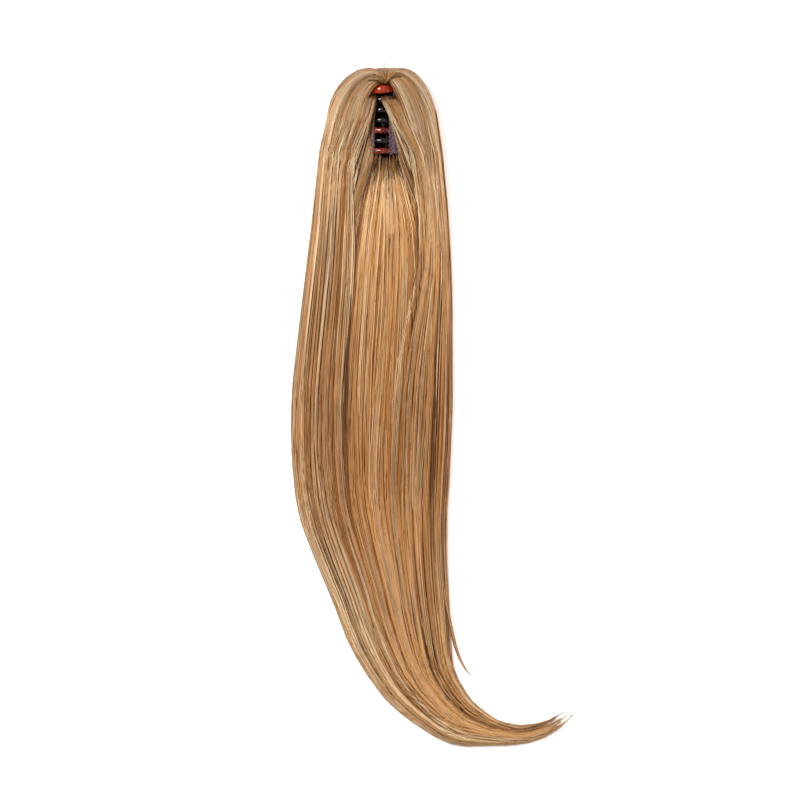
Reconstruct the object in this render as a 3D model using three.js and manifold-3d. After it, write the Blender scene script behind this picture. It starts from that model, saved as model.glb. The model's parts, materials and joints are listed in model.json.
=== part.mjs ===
// Clip-on ponytail hairpiece: straight hair sewn by a net to the two jaws of a small claw clip.
// Millimetres, +Z up. It lies with the claw's teeth up and its hair runs towards -Y, then bends to +X.

import * as THREE from 'three';
import { mergeVertices } from 'three/addons/utils/BufferGeometryUtils.js';
import Module from 'manifold-3d';

const wasm = await Module();
wasm.setup();

// Claw clip sizes
const clipLength = 50;
const clawRadius = 13.3;
const jawWall = 2.2;
const toothCount = 7;
const toothTaper = 0.7;
const toothWidth = 4.7;
const endToothWidth = 7;
const toothReach = 6.9;
const endToothReach = 8.2;
const toothRootDip = 12;
const wallTopAngle = 14;
const wallStartAngle = 8;

// Hinge, lever and spring sizes
const pinRadius = 0.9;
const pinHeadRadius = 1.7;
const pinHeadLength = 1;
const knuckleRadius = 2.8;
const knuckleLength = 3.4;
const hingeDrop = 0.7;
const leverLength = 12.5;
const leverWall = 2;
const leverInset = 0.8;
const leverSpread = 24;
const leverCorner = 4.4;
const leverRidge = 0.5;
const ridgeWidth = 0.6;
const ridgePlaces = [0.55, 0.68, 0.81];
const windowDepth = 5.6;
const coilRadius = 2.2;
const wireRadius = 0.4;
const coilPitch = 1.25;
const coilLoops = 5;

// Clearances
const runningGap = 0.3;
const netGap = 0.3;
const hairGap = 0.4;

// Net and hair sizes
const netWall = 1;
const netTopAngle = 58;
const netStartAngle = 22;
const netMargin = 1;
const underLayer = 6.5;
const curtainWall = 4.2;
const crownRise = 38.5;
const hairDrop = 438;
const hairHalfWidth = 57;
const tailSweep = 132;
const lockRelief = 0.1;
const valleyRipple = 0.045;
const backLocks = 4;
const sectionFullness = 0.9;

// How the locks run, in shares of their number of rows: they fan out from the parting and wander
const lockFan = 0.3;
const fanLength = 0.22;
const lockWaves = 9;
const strayTip = 0.15;
const crownRelief = 0.4;

// Places that follow from the sizes
const degree = Math.PI / 180;
const spread = leverSpread * degree;
const springRoom = (coilPitch * coilLoops) / 2 + wireRadius + 2 * runningGap;
const leverOuter = leverInset + leverWall;
const leverSweep = Math.hypot(leverLength, leverOuter + leverRidge);
const leverHalfWidth = springRoom + 2 * knuckleLength + runningGap;
const hingeHeight = underLayer + hairGap + leverSweep;
const clawHeight = hingeHeight + hingeDrop + clawRadius;
const netOuter = clawRadius + netGap + netWall;
const cavityRadius = netOuter + hairGap;
const headHeight = clawHeight + cavityRadius + curtainWall;
const toothPitch = clipLength / toothCount;
const splitY = -clipLength / 2 - hairGap - 1;

// Centreline and size of the hair. Head rows count up from the clip's middle in crown rises,
// tail rows count down from it in hair drops. Side is in tail sweeps, half is the half width in
// hairHalfWidth and top is the height in headHeight.
const headRows = [
  { up: 1.0, side: 0.02, half: 0.14, top: 0.4 },
  { up: 0.96, side: 0.02, half: 0.27, top: 0.6 },
  { up: 0.88, side: 0.018, half: 0.39, top: 0.78 },
  { up: 0.76, side: 0.014, half: 0.475, top: 0.92 },
  { up: 0.6, side: 0.008, half: 0.565, top: 0.99 },
  { up: 0.4, side: 0.0, half: 0.62, top: 1.0 },
  { up: 0.036, side: -0.005, half: 0.692, top: 1.0 },
  { up: -0.33, side: -0.008, half: 0.75, top: 0.98 },
];
const tailRows = [
  { down: 0.061, side: -0.013, half: 0.775, top: 0.93 },
  { down: 0.125, side: -0.013, half: 0.825, top: 0.8 },
  { down: 0.189, side: -0.016, half: 0.867, top: 0.68 },
  { down: 0.284, side: -0.029, half: 0.93, top: 0.57 },
  { down: 0.348, side: -0.042, half: 0.96, top: 0.52 },
  { down: 0.444, side: -0.058, half: 1.0, top: 0.47 },
  { down: 0.54, side: -0.064, half: 0.985, top: 0.45 },
  { down: 0.604, side: -0.055, half: 0.945, top: 0.44 },
  { down: 0.668, side: -0.019, half: 0.85, top: 0.43 },
  { down: 0.732, side: 0.027, half: 0.75, top: 0.41 },
  { down: 0.828, side: 0.103, half: 0.625, top: 0.37 },
  { down: 0.892, side: 0.186, half: 0.48, top: 0.33 },
  { down: 0.933, side: 0.302, half: 0.388, top: 0.29 },
  { down: 0.961, side: 0.419, half: 0.318, top: 0.26 },
  { down: 0.975, side: 0.567, half: 0.205, top: 0.21 },
  { down: 0.983, side: 0.7, half: 0.132, top: 0.17 },
  { down: 0.978, side: 0.833, half: 0.1, top: 0.13 },
  { down: 0.964, side: 0.928, half: 0.068, top: 0.1 },
  { down: 0.943, side: 1.0, half: 0.014, top: 0.05 },
];

// Locks on the top face. At is the place across it from right (0) to left (1), width is half a
// lock's share of it, and wander is how far the lock strays sideways over the length.
const locks = [
  { at: 0.03, width: 0.075, wander: 0.01, phase: 0.0 },
  { at: 0.14, width: 0.08, wander: 0.03, phase: 0.9 },
  { at: 0.25, width: 0.075, wander: 0.035, phase: 2.3 },
  { at: 0.36, width: 0.08, wander: 0.04, phase: 3.6 },
  { at: 0.47, width: 0.075, wander: 0.045, phase: 5.1 },
  { at: 0.57, width: 0.075, wander: 0.04, phase: 1.4 },
  { at: 0.67, width: 0.08, wander: 0.035, phase: 2.9 },
  { at: 0.78, width: 0.075, wander: 0.03, phase: 4.4 },
  { at: 0.88, width: 0.075, wander: 0.02, phase: 0.5 },
  { at: 0.97, width: 0.07, wander: 0.01, phase: 3.1 },
];

// Valley between the two curtains of hair. Up is in clip lengths from the clip's middle, left and
// right are its edges in claw radii, and floor is the height of the back section in headHeight.
const valleyRows = [
  { up: 0.515, left: -0.68, right: 0.7, floor: 0.6 },
  { up: 0.355, left: -0.64, right: 0.68, floor: 0.6 },
  { up: 0.335, left: -0.6, right: -0.05, floor: 0.6 },
  { up: 0.2, left: -0.7, right: 0.1, floor: 0.6 },
  { up: 0.0, left: -0.88, right: 0.36, floor: 0.6 },
  { up: -0.39, left: -1.3, right: 0.9, floor: 0.62 },
  { up: -0.55, left: -1.48, right: 0.95, floor: 0.64 },
  { up: -1.1, left: -1.9, right: 1.16, floor: 0.68 },
  { up: -1.9, left: -2.0, right: 1.4, floor: 0.72 },
];

// Loose locks that leave the mass of hair. Each has its points from root to tip, in hair drops and
// tail sweeps, and its root radius in mm.
const strayLocks = [
  {
    radius: 3.4,
    points: [
      { down: 0.7, side: 0.3 },
      { down: 0.77, side: 0.36 },
      { down: 0.828, side: 0.393 },
      { down: 0.862, side: 0.427 },
      { down: 0.894, side: 0.474 },
    ],
  },
  {
    radius: 2.6,
    points: [
      { down: 0.955, side: 0.56 },
      { down: 0.967, side: 0.72 },
      { down: 0.958, side: 0.86 },
      { down: 0.938, side: 0.955 },
    ],
  },
  {
    radius: 2.6,
    points: [
      { down: 0.985, side: 0.5 },
      { down: 0.994, side: 0.64 },
      { down: 0.99, side: 0.79 },
      { down: 0.975, side: 0.9 },
    ],
  },
];

// Counts of sections and points
const hairStations = 46;
const topPoints = 40;
const bottomPoints = 6;
const toothSections = 11;
const toothSides = 10;
const lockStations = 12;
const lockSides = 7;
const loopSteps = 12;
const wireSides = 6;
const floorPoints = 16;
const roundSides = 20;

const finishes = {
  tortoiseshell: new THREE.MeshStandardMaterial({ color: 0x5c1d10, roughness: 0.18, metalness: 0 }),
  steel: new THREE.MeshStandardMaterial({ color: 0xb9bcc0, roughness: 0.3, metalness: 1 }),
  net: new THREE.MeshStandardMaterial({ color: 0x4b3a44, roughness: 0.9, metalness: 0 }),
  hair: new THREE.MeshStandardMaterial({ color: 0xb8895a, roughness: 0.45, metalness: 0 }),
};

// Turns a closed geometry into a solid, with its faces pointing out
function solidFrom(geometry) {
  const bare = geometry.clone();
  bare.deleteAttribute('normal');
  bare.deleteAttribute('uv');
  const merged = mergeVertices(bare, 1e-5);
  const place = merged.attributes.position;
  const index = Array.from(merged.index.array);
  const [a, b, c] = [new THREE.Vector3(), new THREE.Vector3(), new THREE.Vector3()];
  let volume = 0;
  for (let i = 0; i < index.length; i += 3) {
    a.fromBufferAttribute(place, index[i]);
    b.fromBufferAttribute(place, index[i + 1]);
    c.fromBufferAttribute(place, index[i + 2]);
    volume += a.dot(b.cross(c));
  }
  const triVerts = new Uint32Array(index);
  if (volume < 0) {
    for (let i = 0; i < index.length; i += 3) {
      triVerts[i + 1] = index[i + 2];
      triVerts[i + 2] = index[i + 1];
    }
  }
  const vertProperties = new Float32Array(place.array);
  return new wasm.Manifold(new wasm.Mesh({ numProp: 3, vertProperties, triVerts }));
}

function geometryFrom(solid) {
  const mesh = solid.getMesh();
  const geometry = new THREE.BufferGeometry();
  geometry.setAttribute('position', new THREE.BufferAttribute(new Float32Array(mesh.vertProperties), 3));
  geometry.setIndex(Array.from(mesh.triVerts));
  const flat = geometry.toNonIndexed();
  flat.computeVertexNormals();
  return flat;
}

function joined(solids) {
  return solids.reduce((whole, next) => whole.add(next));
}

function without(solid, cutters) {
  return cutters.reduce((rest, cutter) => rest.subtract(cutter), solid);
}

function piece(name, solid, finish) {
  const mesh = new THREE.Mesh(geometryFrom(solid), finishes[finish]);
  mesh.name = name;
  return mesh;
}

// Closed skin through rings of equal point counts, with a fan at each end
function skin(rings) {
  const count = rings[0].length;
  const points = rings.flat();
  const index = [];
  for (let r = 0; r < rings.length - 1; r += 1) {
    for (let i = 0; i < count; i += 1) {
      const here = r * count + i;
      const next = r * count + ((i + 1) % count);
      index.push(here, next, next + count, here, next + count, here + count);
    }
  }
  const ends = [
    { ring: rings[0], first: 0, turn: 1 },
    { ring: rings[rings.length - 1], first: (rings.length - 1) * count, turn: -1 },
  ];
  for (const { ring, first, turn } of ends) {
    const middle = points.length;
    const centre = ring.reduce((sum, point) => sum.add(point), new THREE.Vector3());
    points.push(centre.divideScalar(count));
    for (let i = 0; i < count; i += 1) {
      const pair = [first + i, first + ((i + 1) % count)];
      index.push(middle, turn > 0 ? pair[1] : pair[0], turn > 0 ? pair[0] : pair[1]);
    }
  }
  const geometry = new THREE.BufferGeometry().setFromPoints(points);
  geometry.setIndex(index);
  return geometry;
}

// Cylinder along the hinge, centred on the given height
function rod(radius, fromY, toY, height) {
  const geometry = new THREE.CylinderGeometry(radius, radius, toY - fromY, roundSides);
  geometry.translate(0, (fromY + toY) / 2, height);
  return solidFrom(geometry);
}

function block(low, high) {
  const size = high.map((value, i) => value - low[i]);
  const geometry = new THREE.BoxGeometry(...size);
  geometry.translate(...low.map((value, i) => value + size[i] / 2));
  return solidFrom(geometry);
}

// Curved wall about the claw's middle, from one angle to another above the +X direction
function arcWall(inner, outer, fromAngle, toAngle, length, side) {
  const shape = new THREE.Shape();
  shape.absarc(0, 0, outer, fromAngle * degree, toAngle * degree, false);
  shape.absarc(0, 0, inner, toAngle * degree, fromAngle * degree, true);
  shape.closePath();
  const geometry = new THREE.ExtrudeGeometry(shape, {
    depth: length,
    steps: 1,
    curveSegments: 14,
    bevelEnabled: false,
  });
  geometry.rotateX(Math.PI / 2);
  geometry.translate(0, length / 2, clawHeight);
  geometry.scale(side, 1, 1);
  return solidFrom(geometry);
}

// One curved tooth: it rises from the jaw's wall, crosses the middle and is rounded over its last
// fifth
function tooth(atY, width, reach, side) {
  const start = (wallTopAngle - toothRootDip) * degree;
  const end = Math.PI / 2 + Math.asin(reach / clawRadius);
  const rings = [];
  for (let k = 0; k <= toothSections; k += 1) {
    const share = k / toothSections;
    const angle = start + (end - start) * share;
    const tip = Math.max(0, 5 * share - 4);
    const round = Math.sqrt(Math.max(0.04, 1 - tip * tip));
    const halfWidth = (width / 2) * (1 - (1 - toothTaper) * share) * round;
    const halfWall = (jawWall / 6) * (1 + 2 * round);
    const middle = clawRadius - jawWall / 2;
    const ring = [];
    for (let i = 0; i < toothSides; i += 1) {
      const turn = (i / toothSides) * 2 * Math.PI;
      const radius = middle + Math.cos(turn) * halfWall;
      const x = Math.cos(angle) * radius;
      const z = Math.sin(angle) * radius + clawHeight;
      ring.push(new THREE.Vector3(x * side, atY + Math.sin(turn) * halfWidth, z));
    }
    rings.push(ring);
  }
  return solidFrom(skin(rings));
}

// Stands a shape drawn as (across the lever, down the lever) on the lever's own slanted plane
function onLever(shape, depth, offset, side) {
  const geometry = new THREE.ExtrudeGeometry(shape, { depth, steps: 1, bevelEnabled: false });
  const across = new THREE.Vector3(0, -1, 0);
  const down = new THREE.Vector3(Math.sin(spread), 0, -Math.cos(spread));
  const out = new THREE.Vector3(Math.cos(spread), 0, Math.sin(spread));
  const place = new THREE.Matrix4().makeBasis(across, down, out);
  place.setPosition(out.x * offset, 0, out.z * offset + hingeHeight);
  geometry.applyMatrix4(place);
  geometry.scale(side, 1, 1);
  return solidFrom(geometry);
}

function rectangle(left, right, top, bottom) {
  const shape = new THREE.Shape();
  shape.moveTo(left, top);
  shape.lineTo(right, top);
  shape.lineTo(right, bottom);
  shape.lineTo(left, bottom);
  shape.closePath();
  return shape;
}

// Thumb lever: a plate with round lower corners, grip ridges and a window for the spring
function lever(side) {
  const corner = Math.min(leverCorner, leverLength - windowDepth);
  const outline = new THREE.Shape();
  outline.moveTo(-leverHalfWidth, 0);
  outline.lineTo(leverHalfWidth, 0);
  outline.lineTo(leverHalfWidth, leverLength - corner);
  outline.absarc(leverHalfWidth - corner, leverLength - corner, corner, 0, Math.PI / 2, false);
  outline.lineTo(corner - leverHalfWidth, leverLength);
  outline.absarc(corner - leverHalfWidth, leverLength - corner, corner, Math.PI / 2, Math.PI, false);
  outline.closePath();
  const parts = [onLever(outline, leverWall, leverInset, side)];
  const reach = leverHalfWidth - corner;
  for (const place of ridgePlaces) {
    const at = leverLength * place;
    const bar = rectangle(-reach, reach, at, at + ridgeWidth);
    parts.push(onLever(bar, leverRidge + leverWall / 2, leverOuter - leverWall / 2, side));
  }
  const window = rectangle(-springRoom, springRoom, -1, windowDepth);
  return joined(parts).subtract(onLever(window, leverWall + 2, leverInset - 1, side));
}

// Hinge knuckles: the right jaw's pair lies inside the left jaw's pair
function knuckleSpans(side) {
  const start = side > 0 ? springRoom : springRoom + knuckleLength + runningGap;
  return [
    [start, start + knuckleLength],
    [-start - knuckleLength, -start],
  ];
}

function jaw(side) {
  const wall = arcWall(
    clawRadius - jawWall, clawRadius, -90 + wallStartAngle, wallTopAngle, clipLength, side);
  const parts = [wall, lever(side)];
  for (const [fromY, toY] of knuckleSpans(side)) {
    parts.push(rod(knuckleRadius, fromY, toY, hingeHeight));
  }
  for (let k = 0; k < toothCount; k += 1) {
    const toothSide = k % 2 === 0 ? -1 : 1;
    if (toothSide !== side) continue;
    const atY = clipLength / 2 - toothPitch * (k + 0.5);
    parts.push(k === 0
      ? tooth(atY, endToothWidth, endToothReach, side)
      : tooth(atY, toothWidth, toothReach, side));
  }
  const clear = knuckleRadius + runningGap;
  const cutters = knuckleSpans(-side).map(([fromY, toY]) =>
    rod(clear, fromY - runningGap, toY + runningGap, hingeHeight));
  cutters.push(rod(coilRadius + wireRadius + runningGap, -springRoom, springRoom, hingeHeight));
  cutters.push(rod(pinRadius + runningGap, -clipLength, clipLength, hingeHeight));
  return without(joined(parts), cutters);
}

function pin() {
  const shaftEnd = leverHalfWidth + runningGap;
  const headEnd = shaftEnd + pinHeadLength;
  const profile = [
    [0, -headEnd], [pinHeadRadius, -headEnd], [pinHeadRadius, -shaftEnd], [pinRadius, -shaftEnd],
    [pinRadius, shaftEnd], [pinHeadRadius, shaftEnd], [pinHeadRadius, headEnd], [0, headEnd],
  ].map(([radius, along]) => new THREE.Vector2(radius, along));
  const geometry = new THREE.LatheGeometry(profile, roundSides);
  geometry.translate(0, 0, hingeHeight);
  return solidFrom(geometry);
}

// Point beside the lever's inner face: a distance down it and a distance out from the hinge line
function besideLever(down, out, atY, side) {
  const x = Math.sin(spread) * down + Math.cos(spread) * out;
  const z = hingeHeight - Math.cos(spread) * down + Math.sin(spread) * out;
  return new THREE.Vector3(x * side, atY, z);
}

// Torsion spring: the coil turns about the pin, and a leg lies along each lever's inner face
function spring() {
  const halfCoil = (coilPitch * coilLoops) / 2 - wireRadius;
  const legOut = leverInset - runningGap - wireRadius;
  const bend = coilRadius - legOut;
  const leg = [
    { down: 0.76, out: legOut },
    { down: 0.6, out: legOut },
    { down: 0.47, out: legOut },
    { down: 0.38, out: legOut + bend * 0.3 },
    { down: 0.24, out: legOut + bend * 0.7 },
    { down: 0.1, out: legOut + bend * 0.98 },
  ];
  const points = leg.map(({ down, out }) => besideLever(leverLength * down, out, -halfCoil, -1));
  const first = -(spread + Math.PI / 2);
  const last = spread + Math.PI / 2 - 2 * Math.PI * coilLoops;
  const steps = loopSteps * coilLoops;
  for (let k = 0; k <= steps; k += 1) {
    const share = k / steps;
    const turn = first + (last - first) * share;
    const y = -halfCoil + 2 * halfCoil * share;
    points.push(new THREE.Vector3(
      Math.sin(turn) * coilRadius, y, hingeHeight - Math.cos(turn) * coilRadius));
  }
  for (const { down, out } of [...leg].reverse()) {
    points.push(besideLever(leverLength * down, out, halfCoil, 1));
  }
  const section = new THREE.Shape();
  for (let i = 0; i < wireSides; i += 1) {
    const turn = (i / wireSides) * 2 * Math.PI;
    const place = [Math.cos(turn) * wireRadius, Math.sin(turn) * wireRadius];
    if (i === 0) section.moveTo(...place);
    else section.lineTo(...place);
  }
  section.closePath();
  const path = new THREE.CatmullRomCurve3(points);
  return solidFrom(new THREE.ExtrudeGeometry(section, {
    extrudePath: path, steps: steps + 3 * leg.length, bevelEnabled: false, curveSegments: 1,
  }));
}

function net(side) {
  return arcWall(clawRadius + netGap, netOuter, -90 + netStartAngle, netTopAngle,
    clipLength - 2 * netMargin, side);
}

// How much of the hair's size is left at a place across it: all on a lock's crest, less in the
// furrows between them, which are shallow over the clip
function relief(across, along) {
  const fan = Math.min(1, lockFan + (1 - lockFan) * along / fanLength);
  let best = 0;
  for (const { at, width, wander, phase } of locks) {
    const middle = 0.5 + (at - 0.5) * fan + wander * Math.sin(phase + along * lockWaves);
    const offset = (across - middle) / width;
    best = Math.max(best, Math.sqrt(Math.max(0, 1 - offset * offset)));
  }
  const depth = lockRelief * Math.min(1, crownRelief + along / fanLength / 2);
  return 1 - depth * (1 - best);
}

// The whole mass of hair as one closed skin that lies flat on the floor
function hairMass() {
  const rows = [
    ...headRows.map(({ up, side, half, top }) => ({ y: up * crownRise, side, half, top })),
    ...tailRows.map(({ down, side, half, top }) => ({ y: -down * hairDrop, side, half, top })),
  ];
  const spine = new THREE.CatmullRomCurve3(
    rows.map(({ y, side }) => new THREE.Vector3(side * tailSweep, y, 0)), false, 'centripetal');
  const sizes = new THREE.CatmullRomCurve3(
    rows.map(({ half, top }) => new THREE.Vector3(half * hairHalfWidth, 0, top * headHeight)),
    false, 'centripetal');
  const rings = [];
  for (let k = 0; k <= hairStations; k += 1) {
    const along = k / hairStations;
    const middle = spine.getPoint(along);
    const heading = spine.getTangent(along);
    const size = sizes.getPoint(along);
    const right = new THREE.Vector3(-heading.y, heading.x, 0).normalize();
    const ring = [];
    for (let i = 0; i <= topPoints; i += 1) {
      const across = i / topPoints;
      const turn = across * Math.PI;
      const left = relief(across, along);
      const wide = Math.sign(Math.cos(turn)) * Math.abs(Math.cos(turn)) ** sectionFullness * size.x * left;
      const high = Math.sin(turn) ** sectionFullness * size.z * left;
      ring.push(middle.clone().addScaledVector(right, wide).setZ(Math.max(0, high)));
    }
    for (let i = 1; i < bottomPoints; i += 1) {
      const wide = -size.x * (1 - lockRelief) * Math.cos((i / bottomPoints) * Math.PI);
      ring.push(middle.clone().addScaledVector(right, wide).setZ(0));
    }
    rings.push(ring);
  }
  return solidFrom(skin(rings));
}

// A loose lock: a tapering tube that starts inside the mass and lies on the floor
function strayLock({ radius, points }) {
  const path = new THREE.CatmullRomCurve3(
    points.map(({ down, side }) => new THREE.Vector3(side * tailSweep, -down * hairDrop, 0)));
  const rings = [];
  for (let k = 0; k <= lockStations; k += 1) {
    const share = k / lockStations;
    const middle = path.getPoint(share);
    const heading = path.getTangent(share);
    const right = new THREE.Vector3(-heading.y, heading.x, 0).normalize();
    const thick = radius * (1 - (1 - strayTip) * share ** 1.5);
    const ring = [];
    for (let i = 0; i < lockSides; i += 1) {
      const turn = (i / lockSides) * 2 * Math.PI;
      const place = middle.clone().addScaledVector(right, Math.cos(turn) * thick);
      ring.push(place.setZ(thick * (1 + Math.sin(turn))));
    }
    rings.push(ring);
  }
  return solidFrom(skin(rings));
}

// What the valley takes out of the hair, with the crests of the back section on its floor
function valley() {
  const rings = valleyRows.map(({ up, left, right, floor }) => {
    const y = up * clipLength;
    const ring = [];
    for (let i = 0; i <= floorPoints; i += 1) {
      const across = i / floorPoints;
      const x = clawRadius * (left + (right - left) * across);
      const ripple = Math.abs(Math.sin(across * Math.PI * backLocks + up));
      ring.push(new THREE.Vector3(x, y, headHeight * (floor - valleyRipple * (1 - ripple))));
    }
    ring.push(new THREE.Vector3(clawRadius * right, y, headHeight * 1.2));
    ring.push(new THREE.Vector3(clawRadius * left, y, headHeight * 1.2));
    return ring;
  });
  return solidFrom(skin(rings));
}

// The hair in three pieces: one over each jaw, and the rest with the layer under the clip
function hairPieces() {
  const mass = hairMass().subtract(valley());
  const far = 2 * hairDrop;
  const clawRoom = rod(cavityRadius, splitY - 1, clipLength / 2 + hairGap, clawHeight);
  const leverReach = Math.sin(spread) * leverLength + Math.cos(spread) * (leverOuter + leverRidge);
  const leverRoom = block(
    [-leverReach - hairGap, splitY - 1, 0],
    [leverReach + hairGap, clipLength / 2 + hairGap, clawHeight]);
  const aboveLayer = block(
    [-far, splitY, underLayer], [far, far, 2 * headHeight]);
  const overJaws = block(
    [-far, splitY + runningGap, underLayer + runningGap], [far, far, 2 * headHeight]);
  const upper = without(mass.intersect(overJaws), [clawRoom, leverRoom]);
  const partingX = clawRadius * Math.min(...valleyRows.map(({ right }) => right)) - runningGap;
  const leftSide = block([-far, -far, -1], [partingX - runningGap, far, far]);
  const rightSide = block([partingX, -far, -1], [far, far, far]);
  return {
    left: upper.intersect(leftSide),
    right: upper.intersect(rightSide),
    length: joined([mass.subtract(aboveLayer), ...strayLocks.map(strayLock)]),
  };
}

const hair = hairPieces();
const hairpiece = new THREE.Group();
hairpiece.add(
  piece('jaw_left', jaw(-1), 'tortoiseshell'),
  piece('jaw_right', jaw(1), 'tortoiseshell'),
  piece('hinge_pin', pin(), 'steel'),
  piece('spring', spring(), 'steel'),
  piece('net_left', net(-1), 'net'),
  piece('net_right', net(1), 'net'),
  piece('hair_left', hair.left, 'hair'),
  piece('hair_right', hair.right, 'hair'),
  piece('hair_length', hair.length, 'hair'),
);

// The origin is the middle of the whole thing's footprint, on the floor
const extent = new THREE.Box3().setFromObject(hairpiece);
const footprint = extent.getCenter(new THREE.Vector3()).setZ(extent.min.z);
hairpiece.position.copy(footprint.negate());

export default hairpiece;
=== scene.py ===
import json
import math

import bpy
import numpy as np
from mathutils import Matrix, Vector

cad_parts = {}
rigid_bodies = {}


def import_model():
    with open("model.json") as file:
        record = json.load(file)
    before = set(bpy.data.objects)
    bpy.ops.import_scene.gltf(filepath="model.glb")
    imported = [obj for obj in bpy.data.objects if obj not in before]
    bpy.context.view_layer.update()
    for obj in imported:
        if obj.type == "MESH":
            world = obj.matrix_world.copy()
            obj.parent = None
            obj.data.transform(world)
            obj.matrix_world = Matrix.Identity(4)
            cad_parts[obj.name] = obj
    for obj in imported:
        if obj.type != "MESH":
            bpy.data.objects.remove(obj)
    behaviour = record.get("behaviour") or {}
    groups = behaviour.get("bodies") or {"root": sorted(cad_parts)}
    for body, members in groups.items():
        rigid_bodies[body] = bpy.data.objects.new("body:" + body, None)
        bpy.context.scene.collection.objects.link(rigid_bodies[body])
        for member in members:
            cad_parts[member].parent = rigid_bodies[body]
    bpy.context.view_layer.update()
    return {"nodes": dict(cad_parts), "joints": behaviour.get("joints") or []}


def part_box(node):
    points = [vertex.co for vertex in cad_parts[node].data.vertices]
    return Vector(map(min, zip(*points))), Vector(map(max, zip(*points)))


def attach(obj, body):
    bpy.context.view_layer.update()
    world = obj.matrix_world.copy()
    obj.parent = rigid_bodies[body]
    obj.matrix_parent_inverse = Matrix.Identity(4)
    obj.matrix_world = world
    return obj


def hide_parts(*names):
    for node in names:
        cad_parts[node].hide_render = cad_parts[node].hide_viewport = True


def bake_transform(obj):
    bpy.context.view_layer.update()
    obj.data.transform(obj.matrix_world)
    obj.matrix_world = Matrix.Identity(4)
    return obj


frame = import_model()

# Sizes from the frame, in metres
JOINT = frame["joints"][0]
CLIP_X, CLIP_Y, HINGE_Z = JOINT["pos_m"]
FIXED, MOVING = JOINT["parent"], JOINT["child"]
JAW_LOW, JAW_HIGH = (np.array(corner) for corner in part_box("jaw_right"))
NET_LOW, NET_HIGH = (np.array(corner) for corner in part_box("net_right"))
SPRING_LOW, SPRING_HIGH = (np.array(corner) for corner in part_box("spring"))
HAIR_HIGH = np.array(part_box("hair_length")[1])
CLAW_RADIUS = JAW_HIGH[0] - CLIP_X
CLAW_Z = JAW_HIGH[2] - CLAW_RADIUS
CLIP_LENGTH = JAW_HIGH[1] - JAW_LOW[1]
NET_OUTER = NET_HIGH[0] - CLIP_X
HEAD_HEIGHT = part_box("hair_right")[1][2]
CROWN_RISE = HAIR_HIGH[1] - CLIP_Y
MM = 0.001

# Sizes that the part's source has too, in metres. Fullness shapes a section: 1 is an ellipse, less is
# boxier.
HAIR_DROP = 0.438
HALF_WIDTH = 0.057
TAIL_SWEEP = 0.132
FULLNESS = 0.9
EXPONENT = 2 / FULLNESS

# The camera stands where the photograph's did: straight above, with this much of a metre in a pixel
PIXEL = 0.0007
CLIP_PIXEL = (383, 122)
IMAGE_MIDDLE = (400, 400)
IMAGE_WIDTH = 800
LENS, SENSOR = 200.0, 36.0

# Centreline and size of the hair, as in the part's source, but slimmer inside the bend in the rows from
# 0.9345 to 0.9795. Head rows count up from the clip's middle in crown rises, and tail rows count down in
# hair drops. Columns: place, side, half width, height.
HEAD_ROWS = (
    (1.0, 0.02, 0.14, 0.4),
    (0.96, 0.02, 0.27, 0.6),
    (0.88, 0.018, 0.39, 0.78),
    (0.76, 0.014, 0.475, 0.92),
    (0.6, 0.008, 0.565, 0.99),
    (0.4, 0.0, 0.62, 1.0),
    (0.036, -0.005, 0.692, 1.0),
    (-0.33, -0.008, 0.75, 0.98),
)
TAIL_ROWS = (
    (0.061, -0.013, 0.775, 0.93),
    (0.125, -0.013, 0.825, 0.8),
    (0.189, -0.016, 0.867, 0.68),
    (0.284, -0.029, 0.93, 0.57),
    (0.348, -0.042, 0.96, 0.52),
    (0.444, -0.058, 1.0, 0.47),
    (0.54, -0.064, 0.985, 0.45),
    (0.604, -0.055, 0.945, 0.44),
    (0.668, -0.019, 0.85, 0.43),
    (0.732, 0.027, 0.75, 0.41),
    (0.828, 0.103, 0.625, 0.37),
    (0.892, 0.186, 0.48, 0.33),
    (0.9345, 0.298, 0.37, 0.29),
    (0.9635, 0.417, 0.295, 0.26),
    (0.978, 0.565, 0.18, 0.21),
    (0.9855, 0.698, 0.108, 0.17),
    (0.9795, 0.833, 0.088, 0.13),
    (0.964, 0.928, 0.08, 0.1),
    (0.943, 1.0, 0.07, 0.07),
)

# Inner edges of the two curtains: millimetres along the hair from the crown, then the left and the right
# edge as shares of the half width there
EDGE_ROWS = (
    (21, -0.13, -0.06),
    (31, -0.14, 0.05),
    (40, -0.22, 0.18),
    (48, -0.28, 0.32),
    (54, -0.34, 0.41),
    (60, -0.39, 0.48),
    (69, -0.44, 0.53),
    (93, -0.45, 0.61),
    (121, -0.41, 0.64),
    (140, -0.4, 0.58),
    (159, -0.39, 0.5),
    (180, -0.38, 0.41),
    (222, -0.37, 0.29),
    (331, -0.33, 0.25),
    (375, -0.3, 0.17),
    (600, -0.2, 0.1),
)

# How far the back section lies below the curtains' surface: millimetres along, share of the height
BACK_ROWS = ((60, 0.2), (75, 0.13), (95, 0.1), (130, 0.08), (190, 0.05), (300, 0.03), (600, 0.02))

# Edges of the back section, which runs on under the curtains, in the same columns as theirs
BACK_EDGE_ROWS = (
    (62, -0.14, 0.3),
    (75, -0.2, 0.41),
    (93, -0.3, 0.52),
    (121, -0.41, 0.64),
    (222, -0.42, 0.62),
    (331, -0.38, 0.5),
    (600, -0.2, 0.3),
)

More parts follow.
